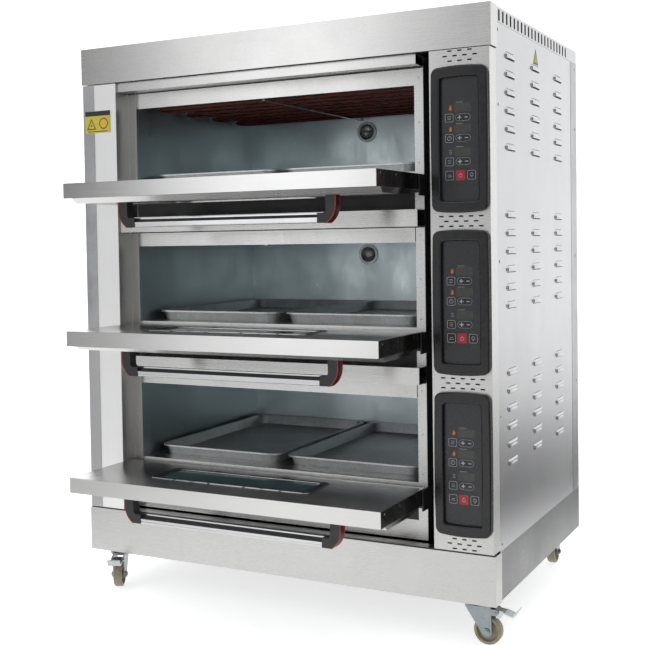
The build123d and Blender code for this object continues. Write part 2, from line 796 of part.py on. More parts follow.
# --- trays ----------------------------------------------------------------------------------
def build_tray(name, x, datum):
    """Pressed tray with sloped walls, rounded corners and a rolled rim."""
    play = 0.3
    base = datum + HEARTH_TOP + play
    top = base + TRAY_H
    mid_y = TRAY_Y + TRAY_L / 2
    wall = 1.5
    rim = 7
    rim_h = 5
    rim_round = 2
    rim_hollow = 3
    slope = 9
    floor_r = 24
    mouth_r = 32
    outer_r = 38
    inward = 2
    floor_w = TRAY_W - 2 * (rim + slope)
    floor_l = TRAY_L - 2 * (rim + slope)
    mouth_w = TRAY_W - 2 * rim
    mouth_l = TRAY_L - 2 * rim
    with BuildPart() as tray:
        with BuildSketch(level(base)):
            with Locations((x, mid_y)):
                RectangleRounded(floor_w, floor_l, floor_r)
        with BuildSketch(level(top)):
            with Locations((x, mid_y)):
                RectangleRounded(mouth_w, mouth_l, mouth_r)
        loft()
        with BuildSketch(level(top - rim_h)):
            with Locations((x, mid_y)):
                RectangleRounded(TRAY_W, TRAY_L, outer_r)
        extrude(amount=rim_h)
        rim_edges = tray.edges().filter_by_position(Axis.Z, top - NEAR, top + NEAR)
        fillet(rim_edges, radius=rim_round)
        with BuildSketch(level(top - rim_h)):
            with Locations((x, mid_y)):
                RectangleRounded(TRAY_W - 2 * wall, TRAY_L - 2 * wall, outer_r - inward)
                RectangleRounded(mouth_w, mouth_l, mouth_r, mode=Mode.SUBTRACT)
        extrude(amount=rim_hollow, mode=Mode.SUBTRACT)
        with BuildSketch(level(base + wall)):
            with Locations((x, mid_y)):
                RectangleRounded(floor_w - 2 * wall, floor_l - 2 * wall, floor_r - inward)
        with BuildSketch(level(top)):
            with Locations((x, mid_y)):
                RectangleRounded(mouth_w - 2 * wall, mouth_l - 2 * wall, mouth_r - inward)
        loft(mode=Mode.SUBTRACT)
    save(tray, name)


# --- casters --------------------------------------------------------------------------------
PLATE_THICK = 3
CUP_TOP = BASE_Z - PLATE_THICK
CUP_BOTTOM = 100
KING_PLAY = 0.06
CROWN = (93, 99)
FORK_GAP = 29
FORK_LEG = 3


def caster_plane(place, z):
    """Level plane of one caster: origin on its swivel axis, local x the way it trails."""
    x, y, turn = place
    trail_dir = (cos(radians(turn)), sin(radians(turn)), 0)
    return Plane(origin=(SHIFT_X + x, SHIFT_Y + y, z), x_dir=trail_dir, z_dir=(0, 0, 1))


def caster_side(place, off):
    """Upright plane along the trail: local x the way it trails, local y up, moved sideways."""
    flat = caster_plane(place, 0)
    return Plane(origin=flat.origin, x_dir=flat.x_dir, z_dir=-flat.y_dir).offset(off)


def build_caster_plates():
    head_low = 87
    head_h = 5
    head_r = 10
    cup_r = 22
    plate_x = 94
    plate_y = 66
    with BuildPart() as plates:
        for x, y, _ in CASTERS.values():
            flat = (x, y, 0)
            with BuildSketch(caster_plane(flat, CUP_TOP)):
                Rectangle(plate_x, plate_y)
            extrude(amount=PLATE_THICK)
            with BuildSketch(caster_plane(flat, CUP_BOTTOM)):
                Circle(cup_r)
            extrude(amount=CUP_TOP - CUP_BOTTOM)
            with BuildSketch(caster_plane(flat, head_low)):
                Circle(KING_R)
            extrude(amount=CUP_BOTTOM - head_low)
            with BuildSketch(caster_plane(flat, head_low)):
                Circle(head_r)
            extrude(amount=head_h)
    save(plates, "caster_plates")


def build_fork(name, place, braked):
    leg_in = FORK_GAP / 2
    pivot_x, pivot_z = PEDAL_PIVOT
    crown_low, crown_high = CROWN
    crown_back = -31
    crown_front = 35
    leg_end_r = 13
    lug_start = 22
    lug_h = 15
    crown_r = 30
    nut_r = 8.5
    nut_h = 4
    pin_r = 3
    pin_out = 2
    axle_out = 6
    axle_half = leg_in + FORK_LEG + axle_out
    pin_half = leg_in + FORK_LEG + pin_out
    with BuildPart() as fork:
        for side in (-1, 1):
            with BuildSketch(caster_side(place, side * (leg_in + FORK_LEG / 2) - FORK_LEG / 2)):
                with Locations(((crown_back + crown_front) / 2, (crown_low + crown_high) / 2)):
                    Rectangle(crown_front - crown_back, crown_high - crown_low)
                with Locations((TRAIL, WHEEL_R)):
                    Circle(leg_end_r)
                make_hull()
                if braked:
                    with Locations(((lug_start + pivot_x) / 2, pivot_z)):
                        SlotCenterToCenter(pivot_x - lug_start, lug_h)
            extrude(amount=FORK_LEG)
        with BuildSketch(caster_plane(place, crown_low)):
            with Locations(((crown_back + crown_front) / 2, 0)):
                Rectangle(crown_front - crown_back, FORK_GAP + 2 * FORK_LEG)
            Circle(crown_r)
        extrude(amount=crown_high - crown_low)
        with BuildSketch(caster_plane(place, crown_low)):
            Circle(KING_R + KING_PLAY)
        extrude(amount=crown_high - crown_low, mode=Mode.SUBTRACT)
        with BuildSketch(caster_side(place, -axle_half)):
            with Locations((TRAIL, WHEEL_R)):
                Circle(AXLE_R)
        extrude(amount=2 * axle_half)
        for side in (-1, 1):
            with BuildSketch(caster_side(place, side * (leg_in + FORK_LEG + nut_h / 2) - nut_h / 2)):
                with Locations((TRAIL, WHEEL_R)):
                    RegularPolygon(nut_r, 6)
            extrude(amount=nut_h)
        if braked:
            with BuildSketch(caster_side(place, -pin_half)):
                with Locations((pivot_x, pivot_z)):
                    Circle(pin_r)
            extrude(amount=2 * pin_half)
    save(fork, name)


def build_wheel(name, place):
    play = 0.05
    hub_half = 13.5
    hub_r = 11
    hub_foot_r = 12
    rim_r = 27
    rim_foot_r = 24
    web_half = 5
    tread_r = 4
    tread_half = WHEEL_W / 2
    section = Plane(
        origin=caster_plane(place, WHEEL_R).from_local_coords((TRAIL, 0, 0)),
        x_dir=(0, 0, 1),
        z_dir=caster_plane(place, 0).x_dir,
    )
    bore = AXLE_R + play
    with BuildPart() as wheel:
        with BuildSketch(section):
            with BuildLine():
                Polyline(
                    (bore, -hub_half), (hub_r, -hub_half), (hub_foot_r, -web_half),
                    (rim_foot_r, -web_half), (rim_r, -tread_half), (WHEEL_R, -tread_half),
                    (WHEEL_R, tread_half), (rim_r, tread_half), (rim_foot_r, web_half),
                    (hub_foot_r, web_half), (hub_r, hub_half), (bore, hub_half), close=True,
                )
            outline = make_face()
            fillet([v for v in outline.vertices() if v.X > WHEEL_R - NEAR], radius=tread_r)
        revolve(axis=Axis(section.origin, section.y_dir))
    save(wheel, name)


def build_pedal(name, place):
    """Brake lever: an eye and arm between the legs, then a wider toe plate that turns up."""
    pivot_x, pivot_z = PEDAL_PIVOT
    arm_half = 13
    toe_half = 18
    eye_r = 3.06
    eye_out = 7
    thick = 3
    toe_x = PEDAL_TIP - 38
    toe_top = pivot_z + 4
    arm_end = toe_x + 4
    bend_x = PEDAL_TIP - 14
    bend_z = pivot_z - 3
    bend_r = 2
    lip_z = pivot_z + 13
    shoe = (pivot_x + 6, pivot_z - 8)
    shoe_w = 10
    shoe_h = 12
    with BuildPart() as pedal:
        with BuildSketch(caster_side(place, -arm_half)):
            with Locations((pivot_x, pivot_z)):
                Circle(eye_out)
            with BuildLine():
                Polyline(
                    (pivot_x, pivot_z + eye_out), (arm_end, toe_top), (arm_end, toe_top - thick),
                    (pivot_x + 5, pivot_z - 5), close=True,
                )
            make_face()
            with Locations(shoe):
                Rectangle(shoe_w, shoe_h)
        extrude(amount=2 * arm_half)
        with BuildSketch(caster_side(place, -toe_half)):
            with BuildLine():
                Polyline(
                    (toe_x, toe_top), (bend_x, bend_z), (PEDAL_TIP - thick, lip_z),
                    (PEDAL_TIP, lip_z - bend_r), (bend_x + bend_r, bend_z - thick),
                    (bend_x - bend_r, bend_z - thick), (toe_x, toe_top - thick), close=True,
                )
            make_face()
        extrude(amount=2 * toe_half)
        with BuildSketch(caster_side(place, -arm_half)):
            with Locations((pivot_x, pivot_z)):
                Circle(eye_r)
        extrude(amount=2 * arm_half, mode=Mode.SUBTRACT)
    save(pedal, name)


# --- everything -----------------------------------------------------------------------------
def main():
    build_base()
    build_left_column()
    build_control_column()
    build_band_and_cover()
    build_side_panel(-1, "left_side_panel")
    build_side_panel(1, "right_side_panel")
    build_back()
    build_deck_frames()
    build_rails()
    build_hearths()
    build_elements("upper_elements", **UPPER_ELEMENTS)
    build_elements("lower_elements", **LOWER_ELEMENTS)
    build_hangers()
    build_lamps()
    build_insulation()
    build_control_panels()
    build_hinge_brackets()
    build_screws()
    for deck, datum in DECKS.items():
        build_chamber(deck, datum)
        build_door_shell(deck, datum)
        build_door_liner(deck, datum)
        build_door_glass(deck, datum)
        build_handle(deck, datum)
        for side, x in TRAYS.items():
            build_tray(f"tray_{deck}_{side}", x, datum)
    build_caster_plates()
    for corner, place in CASTERS.items():
        braked = corner.startswith("front")
        build_fork(f"fork_{corner}", place, braked)
        build_wheel(f"wheel_{corner}", place)
        if braked:
            build_pedal(f"pedal_{corner}", place)


main()
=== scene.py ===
import json
import math

import bmesh
import bpy
from mathutils import Matrix, Vector


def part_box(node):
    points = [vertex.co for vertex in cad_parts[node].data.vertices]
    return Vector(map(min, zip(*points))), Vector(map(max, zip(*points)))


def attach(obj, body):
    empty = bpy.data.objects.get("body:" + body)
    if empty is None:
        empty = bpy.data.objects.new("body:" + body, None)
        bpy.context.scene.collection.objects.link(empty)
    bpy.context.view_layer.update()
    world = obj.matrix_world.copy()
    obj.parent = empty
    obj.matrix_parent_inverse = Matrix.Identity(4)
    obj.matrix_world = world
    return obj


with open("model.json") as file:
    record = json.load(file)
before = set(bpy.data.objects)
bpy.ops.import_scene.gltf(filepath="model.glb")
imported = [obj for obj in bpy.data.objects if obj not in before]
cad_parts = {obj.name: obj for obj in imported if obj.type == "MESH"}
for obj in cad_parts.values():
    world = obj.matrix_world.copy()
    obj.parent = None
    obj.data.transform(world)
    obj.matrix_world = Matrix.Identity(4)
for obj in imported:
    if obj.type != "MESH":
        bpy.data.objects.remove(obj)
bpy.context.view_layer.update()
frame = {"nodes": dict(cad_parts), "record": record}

MM = 0.001
DECKS = ("low", "mid", "top")
FRAME_Y = 57
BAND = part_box("top_band")
MACHINE = Vector(((BAND[0][0] + BAND[1][0]) / 2, BAND[0][1], 0))


def at(x, y, z):
    """Row-frame point from machine millimetres: X from the middle, Y from the front, Z up."""
    return MACHINE + Vector((x, y, z)) * MM


# --- materials ------------------------------------------------------------------------------
class Nodes:
    """A small helper that adds and links shader nodes."""

    def __init__(self, name):
        self.material = bpy.data.materials.new(name)
        self.material.use_nodes = True
        self.tree = self.material.node_tree
        self.shader = self.tree.nodes["Principled BSDF"]
        self.place = self.add("ShaderNodeTexCoord").outputs["Object"]

    def add(self, kind, **values):
        node = self.tree.nodes.new(kind)
        for key, value in values.items():
            setattr(node, key, value)
        return node

    def link(self, source, target):
        self.tree.links.new(source, target)

    def mapped(self, scale):
        node = self.add("ShaderNodeMapping")
        node.inputs["Scale"].default_value = scale
        self.link(self.place, node.inputs["Vector"])
        return node.outputs["Vector"]

    def noise(self, scale, detail=4.0, rough=0.55):
        node = self.add("ShaderNodeTexNoise")
        node.inputs["Scale"].default_value = 1.0
        node.inputs["Detail"].default_value = detail
        node.inputs["Roughness"].default_value = rough
        self.link(self.mapped(scale), node.inputs["Vector"])
        return node.outputs["Fac"]

    def ramp(self, value, low, high, start=0.3, end=0.7):
        node = self.add("ShaderNodeValToRGB")
        node.color_ramp.elements[0].position = start
        node.color_ramp.elements[0].color = (*low, 1)
        node.color_ramp.elements[1].position = end
        node.color_ramp.elements[1].color = (*high, 1)
        self.link(value, node.inputs["Fac"])
        return node.outputs["Color"]

    def span(self, value, low, high, start=0.3, end=0.7):
        node = self.add("ShaderNodeMapRange")
        node.inputs["From Min"].default_value = start
        node.inputs["From Max"].default_value = end
        node.inputs["To Min"].default_value = low
        node.inputs["To Max"].default_value = high
        self.link(value, node.inputs["Value"])
        return node.outputs["Result"]

    def slope(self, direction, start, end):
        """A smooth step from 0 to 1 along a direction in the object's own space, in metres."""
        along = self.add("ShaderNodeVectorMath", operation="DOT_PRODUCT")
        self.link(self.place, along.inputs[0])
        along.inputs[1].default_value = direction
        step = self.add("ShaderNodeMapRange", interpolation_type="SMOOTHSTEP")
        step.inputs["From Min"].default_value = start
        step.inputs["From Max"].default_value = end
        self.link(along.outputs["Value"], step.inputs["Value"])
        return step.outputs["Result"]

    def combine(self, operation, first, second):
        product = self.add("ShaderNodeMath", operation=operation)
        self.link(first, product.inputs[0])
        self.link(second, product.inputs[1])
        return product.outputs["Value"]

    def mix(self, kind, factor, first, second):
        node = self.add("ShaderNodeMix", data_type="RGBA", blend_type=kind)
        node.inputs["Factor"].default_value = factor
        self.link(first, node.inputs["A"])
        self.link(second, node.inputs["B"])
        return node.outputs["Result"]

    def bump(self, height, strength, distance):
        node = self.add("ShaderNodeBump")
        node.inputs["Strength"].default_value = strength
        node.inputs["Distance"].default_value = distance
        self.link(height, node.inputs["Height"])
        self.link(node.outputs["Normal"], self.shader.inputs["Normal"])

    def set(self, **values):
        for key, value in values.items():
            self.shader.inputs[key.replace("_", " ")].default_value = value


def shade(colour, factor):
    return tuple(min(1.0, part * factor) for part in colour)


def brushed(name, colour, rough, fine, smear=0.05, spread=0.0):
    """Brushed sheet: streaks along the axis where fine is smallest, faint smears in the gloss.

    Spread draws highlights out across the grain of a level brushed face.
    """
    nodes = Nodes(name)
    streak = nodes.noise(fine, 6.0, 0.7)
    cloud = nodes.noise((3.1, 2.7, 3.4), 3.0, 0.5)
    base = nodes.ramp(streak, shade(colour, 0.96), shade(colour, 1.03))
    tint = nodes.ramp(cloud, (0.96, 0.96, 0.97), (1.0, 1.0, 1.0))
    nodes.link(nodes.mix("MULTIPLY", 1.0, base, tint), nodes.shader.inputs["Base Color"])
    if spread:
        quarter_turn = 0.25
        grain = nodes.add("ShaderNodeTangent", direction_type="RADIAL", axis="Z")
        nodes.link(grain.outputs["Tangent"], nodes.shader.inputs["Tangent"])
        nodes.shader.inputs["Anisotropic"].default_value = spread
        nodes.shader.inputs["Anisotropic Rotation"].default_value = quarter_turn
    patch = nodes.noise((9.0, 8.0, 7.0), 4.0, 0.6)
    mixer = nodes.add("ShaderNodeMath", operation="ADD")
    nodes.link(nodes.span(streak, rough - 0.03, rough + 0.03), mixer.inputs[0])
    nodes.link(nodes.span(patch, -smear, smear), mixer.inputs[1])
    nodes.link(mixer.outputs["Value"], nodes.shader.inputs["Roughness"])
    nodes.set(Metallic=1.0)
    nodes.bump(streak, 0.06, 0.00006)
    return nodes.material


def mottled(name, colour, rough, scale, spread=0.15, metallic=0.0, bump=0.0002, strength=0.3):
    """Cast, plated or moulded surfaces: a fine grain over slow colour changes."""
    nodes = Nodes(name)
    grain = nodes.noise((scale, scale, scale), 5.0, 0.6)
    cloud = nodes.noise((scale / 12, scale / 12, scale / 12), 3.0, 0.5)
    base = nodes.ramp(grain, shade(colour, 1 - spread), shade(colour, 1 + spread))
    tint = nodes.ramp(cloud, (0.86, 0.86, 0.86), (1.0, 1.0, 1.0))
    nodes.link(nodes.mix("MULTIPLY", 1.0, base, tint), nodes.shader.inputs["Base Color"])
    nodes.link(nodes.span(cloud, rough - 0.06, rough + 0.08), nodes.shader.inputs["Roughness"])
    nodes.set(Metallic=metallic)
    nodes.bump(grain, strength, bump)
    return nodes.material


def glass(name, colour, rough, clear):
    nodes = Nodes(name)
    cloud = nodes.noise((6.0, 5.0, 5.0), 3.0, 0.5)
    nodes.link(nodes.ramp(cloud, shade(colour, 0.85), colour), nodes.shader.inputs["Base Color"])
    nodes.link(nodes.span(cloud, rough, rough + 0.05), nodes.shader.inputs["Roughness"])
    nodes.set(IOR=1.5)
    nodes.shader.inputs["Transmission Weight"].default_value = clear
    return nodes.material


def heated_tube():
    """Oxidised red-brown tube, with darker scale in patches."""
    nodes = Nodes("heated_tube")
    patch = nodes.noise((30.0, 60.0, 60.0), 5.0, 0.6)
    base = nodes.ramp(patch, (0.075, 0.018, 0.014), (0.20, 0.045, 0.032))
    nodes.link(base, nodes.shader.inputs["Base Color"])
    nodes.link(nodes.span(patch, 0.45, 0.7), nodes.shader.inputs["Roughness"])
    nodes.set(Metallic=0.35)
    nodes.bump(patch, 0.25, 0.0002)
    return nodes.material


def tray_metal():
    """Aluminised tray: dull spangle, rub marks along the length and a few baked-on stains."""
    nodes = Nodes("tray_metal")
    spangle = nodes.add("ShaderNodeTexVoronoi")
    spangle.inputs["Scale"].default_value = 240.0
    nodes.link(nodes.place, spangle.inputs["Vector"])
    rub = nodes.noise((220.0, 9.0, 220.0), 5.0, 0.6)
    stain = nodes.noise((14.0, 14.0, 14.0), 4.0, 0.6)
    base = nodes.ramp(rub, (0.68, 0.70, 0.71), (0.84, 0.86, 0.87))
    flakes = nodes.ramp(spangle.outputs["Distance"], (0.92, 0.92, 0.92), (1.0, 1.0, 1.0), 0.0, 1.0)
    marks = nodes.ramp(stain, (0.80, 0.79, 0.77), (1.0, 1.0, 1.0), 0.35, 0.6)
    colour = nodes.mix("MULTIPLY", 1.0, nodes.mix("MULTIPLY", 1.0, base, flakes), marks)
    nodes.link(colour, nodes.shader.inputs["Base Color"])
    nodes.link(nodes.span(stain, 0.28, 0.42), nodes.shader.inputs["Roughness"])
    nodes.set(Metallic=0.7)
    nodes.bump(rub, 0.10, 0.0002)
    return nodes.material


def nylon():
    """Beige wheel nylon, with scuffs round the tread."""
    nodes = Nodes("wheel_nylon")
    scuff = nodes.noise((90.0, 90.0, 90.0), 6.0, 0.65)
    base = nodes.ramp(scuff, (0.19, 0.165, 0.105), (0.32, 0.285, 0.19), 0.25, 0.75)
    nodes.link(base, nodes.shader.inputs["Base Color"])
    nodes.link(nodes.span(scuff, 0.32, 0.5), nodes.shader.inputs["Roughness"])
    nodes.bump(scuff, 0.2, 0.0003)
    return nodes.material


STEEL = (0.56, 0.555, 0.54)
DOOR_STEEL = (0.60, 0.595, 0.58)
DOOR_GRAIN = (5.0, 1000.0, 1000.0)
MATERIALS = {
    "brushed_stainless": brushed("brushed_stainless", STEEL, 0.27, (6.0, 900.0, 900.0), 0.02, 0.9),
    "side_stainless": brushed("side_stainless", (0.48, 0.48, 0.48), 0.20, (900.0, 900.0, 5.0)),
    "door_stainless": brushed("door_stainless", DOOR_STEEL, 0.24, DOOR_GRAIN, 0.02, 0.9),
    "chamber_steel": brushed("chamber_steel", (0.62, 0.70, 0.71), 0.36, (40.0, 400.0, 6.0), 0.08),
    "hearth_steel": brushed("hearth_steel", (0.50, 0.50, 0.49), 0.34, (500.0, 7.0, 500.0), 0.10),
    "dark_steel": mottled("dark_steel", (0.030, 0.030, 0.032), 0.42, 400.0, 0.2, 0.4),
    "heated_tube": heated_tube(),
    "lamp_glass": glass("lamp_glass", (0.80, 0.86, 0.88), 0.03, 0.85),
    "wool": mottled("wool", (0.62, 0.58, 0.48), 0.9, 300.0, 0.25, 0.0, 0.002, 0.8),
    "gloss_black": mottled(
        "gloss_black", (0.005, 0.005, 0.006), 0.22, 700.0, 0.2, 0.0, 0.00003, 0.1
    ),
    "film_black": mottled(
        "film_black", (0.020, 0.021, 0.024), 0.30, 900.0, 0.15, 0.0, 0.00004, 0.15
    ),
    "circuit_board": mottled("circuit_board", (0.02, 0.13, 0.06), 0.5, 300.0, 0.2),
    "zinc": mottled("zinc", (0.30, 0.33, 0.34), 0.30, 260.0, 0.12, 1.0, 0.0001, 0.2),
    "screw_steel": mottled("screw_steel", (0.62, 0.62, 0.62), 0.25, 500.0, 0.1, 1.0, 0.0001, 0.2),
    "gland_plastic": mottled("gland_plastic", (0.02, 0.02, 0.02), 0.55, 500.0, 0.2),
    "window_glass": glass("window_glass", (0.10, 0.20, 0.20), 0.05, 0.55),
    "handle_black": mottled(
        "handle_black", (0.018, 0.018, 0.020), 0.38, 1200.0, 0.2, 0.0, 0.0001, 0.25
    ),
    "handle_metal": brushed("handle_metal", (0.58, 0.58, 0.58), 0.22, (8.0, 1200.0, 1200.0), 0.03),
    "tray_metal": tray_metal(),
    "wheel_nylon": nylon(),
    "pedal_zinc": mottled("pedal_zinc", (0.55, 0.57, 0.57), 0.26, 260.0, 0.1, 1.0, 0.0001, 0.2),
}
TRIM_RED = mottled("trim_red", (0.42, 0.030, 0.010), 0.30, 900.0, 0.12)
# Darker copy of the trim red: painted shade on the brackets' curved backs.
TRIM_RED_SHADE = mottled("trim_red_painted_shade", (0.075, 0.006, 0.005), 0.34, 900.0, 0.15)
DISPLAY = mottled("display", (0.045, 0.046, 0.040), 0.25, 900.0, 0.10)
PRINT_WHITE = mottled("print_white", (0.42, 0.44, 0.46), 0.5, 900.0, 0.1)
PRINT_ORANGE = mottled("print_orange", (0.65, 0.17, 0.02), 0.45, 900.0, 0.12)
# Copy of the steel for the returns beside the doors, where shade falls: painted shade.
PAINTED_SHADE_STEEL = brushed("painted_shade_steel", (0.55, 0.545, 0.53), 0.36, (6.0, 900.0, 900.0))
# Darker copy of the stainless: painted shade and dark reflection on the door ends and the side
# folds.
SHADE_AND_REFLECTION_STEEL = brushed("shade_and_reflection_steel", (0.13, 0.128, 0.12), 0.26, (6.0, 900.0, 900.0))
# Dark grey for the louvres: painted shade under the lips and along the hood tops.
SLIT_SHADE = mottled("slit_painted_shade", (0.11, 0.11, 0.11), 0.45, 500.0, 0.2)
KEY_RED = mottled("key_red", (0.42, 0.010, 0.016), 0.32, 900.0, 0.12)
KEY_DARK = mottled("key_dark", (0.006, 0.006, 0.007), 0.22, 900.0, 0.15)
LABEL_YELLOW = mottled("label_yellow", (0.72, 0.60, 0.06), 0.45, 600.0, 0.06)
LABEL_BLACK = mottled("label_black", (0.02, 0.02, 0.02), 0.45, 600.0, 0.2)
LABEL_RED = mottled("label_red", (0.45, 0.03, 0.03), 0.45, 600.0, 0.1)
# Darker copy of the side steel: painted shade on the rear folds.
FOLD_SHADE_STEEL = brushed("fold_shade_steel", (0.33, 0.33, 0.33), 0.26, (900.0, 900.0, 5.0))
# Two CAD nodes get a lighter and a darker copy of the steel: painted light on the left column,
# painted shade on the base pan.
PAINTED_LIGHT_VARIANTS = {
    "left_column": brushed("column_painted_light_steel", (0.88, 0.875, 0.86), 0.48, (900.0, 900.0, 5.0)),
    "base_pan": brushed("pan_painted_shade_steel", (0.21, 0.21, 0.21), 0.32, (5.0, 5.0, 900.0)),
}
BULB_GLASS = glass("bulb_glass", (0.92, 0.94, 0.95), 0.02, 0.9)


def paint_nodes():
    """Give every CAD node the material of its slot, or its painted-light or painted-shade copy of
    the steel.
    """
    slots = {part["node"]: part["material_slot"] for part in frame["record"]["subparts"]}
    for name, obj in frame["nodes"].items():
        material = PAINTED_LIGHT_VARIANTS.get(name, MATERIALS[slots[name]])
        for index in range(len(obj.material_slots)):
            obj.material_slots[index].material = material
        if not obj.material_slots:
            obj.data.materials.append(material)


# --- mesh helpers ---------------------------------------------------------------------------
class Sheet:
    """Maps flat drawings (u, v, height) in millimetres into the row frame."""

    def __init__(self, origin, right, up):
        self.origin = Vector(origin)
        self.right = Vector(right).normalized()
        self.up = Vector(up).normalized()
        self.out = self.right.cross(self.up)

    def spot(self, u, v, height=0.0):
        return self.origin + (self.right * u + self.up * v + self.out * height) * MM


def circle(cx, cy, radius, count=24):
    """Points round a circle, anticlockwise."""
    angles = [2 * math.pi * index / count for index in range(count)]
    return [(cx + radius * math.cos(angle), cy + radius * math.sin(angle)) for angle in angles]


def rounded(cx, cy, width, height, radius, steps=6):
    """Points round a rounded rectangle, anticlockwise."""
    points = []
    for quarter in range(4):
        side_x = 1 if quarter in (0, 3) else -1
        side_y = 1 if quarter in (0, 1) else -1
        middle_x = cx + side_x * (width / 2 - radius)
        middle_y = cy + side_y * (height / 2 - radius)
        for step in range(steps + 1):
            angle = math.pi / 2 * (quarter + step / steps)
            x = middle_x + radius * math.cos(angle)
            y = middle_y + radius * math.sin(angle)
            points.append((x, y))
    return points


def add_plate(bm, sheet, outline, low, high, bevel=0.0):
    """A flat plate with a bevelled top edge."""
    middle_u = sum(point[0] for point in outline) / len(outline)
    middle_v = sum(point[1] for point in outline) / len(outline)
    rings = [(outline, low), (outline, high - bevel)]
    if bevel:
        reach = max(math.hypot(u - middle_u, v - middle_v) for u, v in outline)
        shrink = 1 - bevel / reach
        inner = [
            (middle_u + (u - middle_u) * shrink, middle_v + (v - middle_v) * shrink)
            for u, v in outline
        ]
        rings.append((inner, high))
    loops = [[bm.verts.new(sheet.spot(u, v, height)) for u, v in ring] for ring, height in rings]
    for first, second in zip(loops, loops[1:]):
        stitch(bm, first, second)
    bm.faces.new(loops[-1])
    bm.faces.new(list(reversed(loops[0])))


def stitch(bm, first, second):
    """Quads between two closed loops of the same length."""
    count = len(first)
    for index in range(count):
        after = (index + 1) % count
        bm.faces.new((first[index], first[after], second[after], second[index]))


def add_ring(bm, sheet, outer, inner, low, high):
    """A flat frame between two outlines with the same number of points."""
    rings = [(outer, low), (outer, high), (inner, high), (inner, low)]
    loops = [[bm.verts.new(sheet.spot(u, v, height)) for u, v in ring] for ring, height in rings]
    for index in range(4):
        stitch(bm, loops[index], loops[(index + 1) % 4])


def finish_piece(name, bm, material, body, smooth=40.0):
    """Turn a bmesh into a piece that rides on a body, in the material it is given."""
    bmesh.ops.recalc_face_normals(bm, faces=bm.faces)
    mesh = bpy.data.meshes.new(name)
    bm.to_mesh(mesh)
    bm.free()
    mesh.materials.append(material)
    obj = bpy.data.objects.new(name, mesh)
    bpy.context.scene.collection.objects.link(obj)
    if smooth:
        mesh.shade_smooth()
        modifier = obj.modifiers.new("edges", "EDGE_SPLIT")
        modifier.split_angle = math.radians(smooth)
    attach(obj, body)
    return obj


def front_sheet(x, y, z):
    return Sheet(at(x, y, z), (1, 0, 0), (0, 0, 1))


def deck_datum(deck):
    """Height of a deck's open door top, in millimetres."""
    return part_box(f"door_liner_{deck}")[1][2] / MM


def screw_head(bm, sheet, u, v, radius, height):
    """Low domed screw head that stands on a sheet."""
    steps = 5
    count = 20
    loops = []
    for step in range(steps):
        angle = math.pi / 2 * step / steps
        ring = circle(u, v, radius * math.cos(angle), count)
        loops.append([bm.verts.new(sheet.spot(a, b, height * math.sin(angle))) for a, b in ring])
    for first, second in zip(loops, loops[1:]):
        stitch(bm, first, second)
    bm.faces.new(loops[-1])
    bm.faces.new(list(reversed(loops[0])))


# --- handle trims and bars --------------------------------------------------------------------
def handle_outline(outer, inward, top, bottom):
    """Outer edge of one handle bracket, from the door panel round to the bar."""
    lower_run = 24
    straight = 20
    bulge_in = 0.32
    bulge_up = 0.36
    steps = 14
    start = Vector((outer, top - straight))
    end = Vector((outer + inward * lower_run, bottom))
    bulge_x = outer + inward * lower_run * bulge_in
    bulge = Vector((bulge_x, bottom + (top - straight - bottom) * bulge_up))
    centre, radius = three_point_circle(start, bulge, end)
    first = math.atan2(start.y - centre.y, start.x - centre.x)
    last = math.atan2(end.y - centre.y, end.x - centre.x)
    sweep = (last - first + math.pi) % (2 * math.pi) - math.pi
    points = [Vector((outer, top - 0.5))]
    for step in range(steps + 1):
        angle = first + sweep * step / steps
        points.append(centre + radius * Vector((math.cos(angle), math.sin(angle))))
    return points


def three_point_circle(a, b, c):
    """Centre and radius of the circle through three flat points."""
    d = 2 * (a.x * (b.y - c.y) + b.x * (c.y - a.y) + c.x * (a.y - b.y))
    sa, sb, sc = a.length_squared, b.length_squared, c.length_squared
    centre = Vector((
        (sa * (b.y - c.y) + sb * (c.y - a.y) + sc * (a.y - b.y)) / d,
        (sa * (c.x - b.x) + sb * (a.x - c.x) + sc * (b.x - a.x)) / d,
    ))
    return centre, (a - centre).length


def build_handle_trims(deck):
    """A strip in a darker copy of the red, painted shade, along the curved back of each bracket,
    between two bright red beads.
    """
    low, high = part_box(f"handle_brackets_{deck}")
    left = (low[0] - MACHINE.x) / MM
    right = (high[0] - MACHINE.x) / MM
    front = (low[1] - MACHINE.y) / MM
    back = (high[1] - MACHINE.y) / MM
    bead_w = 2.6
    bead_h = 1.6
    strip_h = 0.9
    bead = bmesh.new()
    strip = bmesh.new()
    for outer, inward in ((left, 1), (right, -1)):
        path = handle_outline(outer, inward, high[2] / MM, low[2] / MM)
        sweep_band(bead, path, inward, front - 0.6, front + bead_w, bead_h)
        sweep_band(bead, path, inward, back - bead_w, back + 0.4, bead_h)
        # The strip between the beads takes the darker red: painted shade.
        sweep_band(strip, path, inward, front + bead_w, back - bead_w, strip_h)
    finish_piece(f"handle_beads_{deck}", bead, TRIM_RED, f"door_{deck}")
    finish_piece(f"handle_shade_strips_{deck}", strip, TRIM_RED_SHADE, f"door_{deck}")


def sweep_band(bm, path, inward, front, back, proud):
    """A band that follows the bracket's outer edge between two depths."""
    sunk = -0.4
    shoulder = proud * 0.7
    ease = 0.6
    section = [
        (sunk, front), (shoulder, front), (proud, front + ease),
        (proud, back - ease), (shoulder, back), (sunk, back),
    ]
    loops = []
    for index, point in enumerate(path):
        before = path[max(index - 1, 0)]
        after = path[min(index + 1, len(path) - 1)]
        along = (after - before).normalized()
        out = Vector((along.y, -along.x))
        if out.x * inward > 0:
            out = -out
        loops.append([
            bm.verts.new(at(point.x + out.x * lift, y, point.y + out.y * lift))
            for lift, y in section
        ])
    for first, second in zip(loops, loops[1:]):
        stitch(bm, first, second)
    bm.faces.new(loops[0])
    bm.faces.new(list(reversed(loops[-1])))


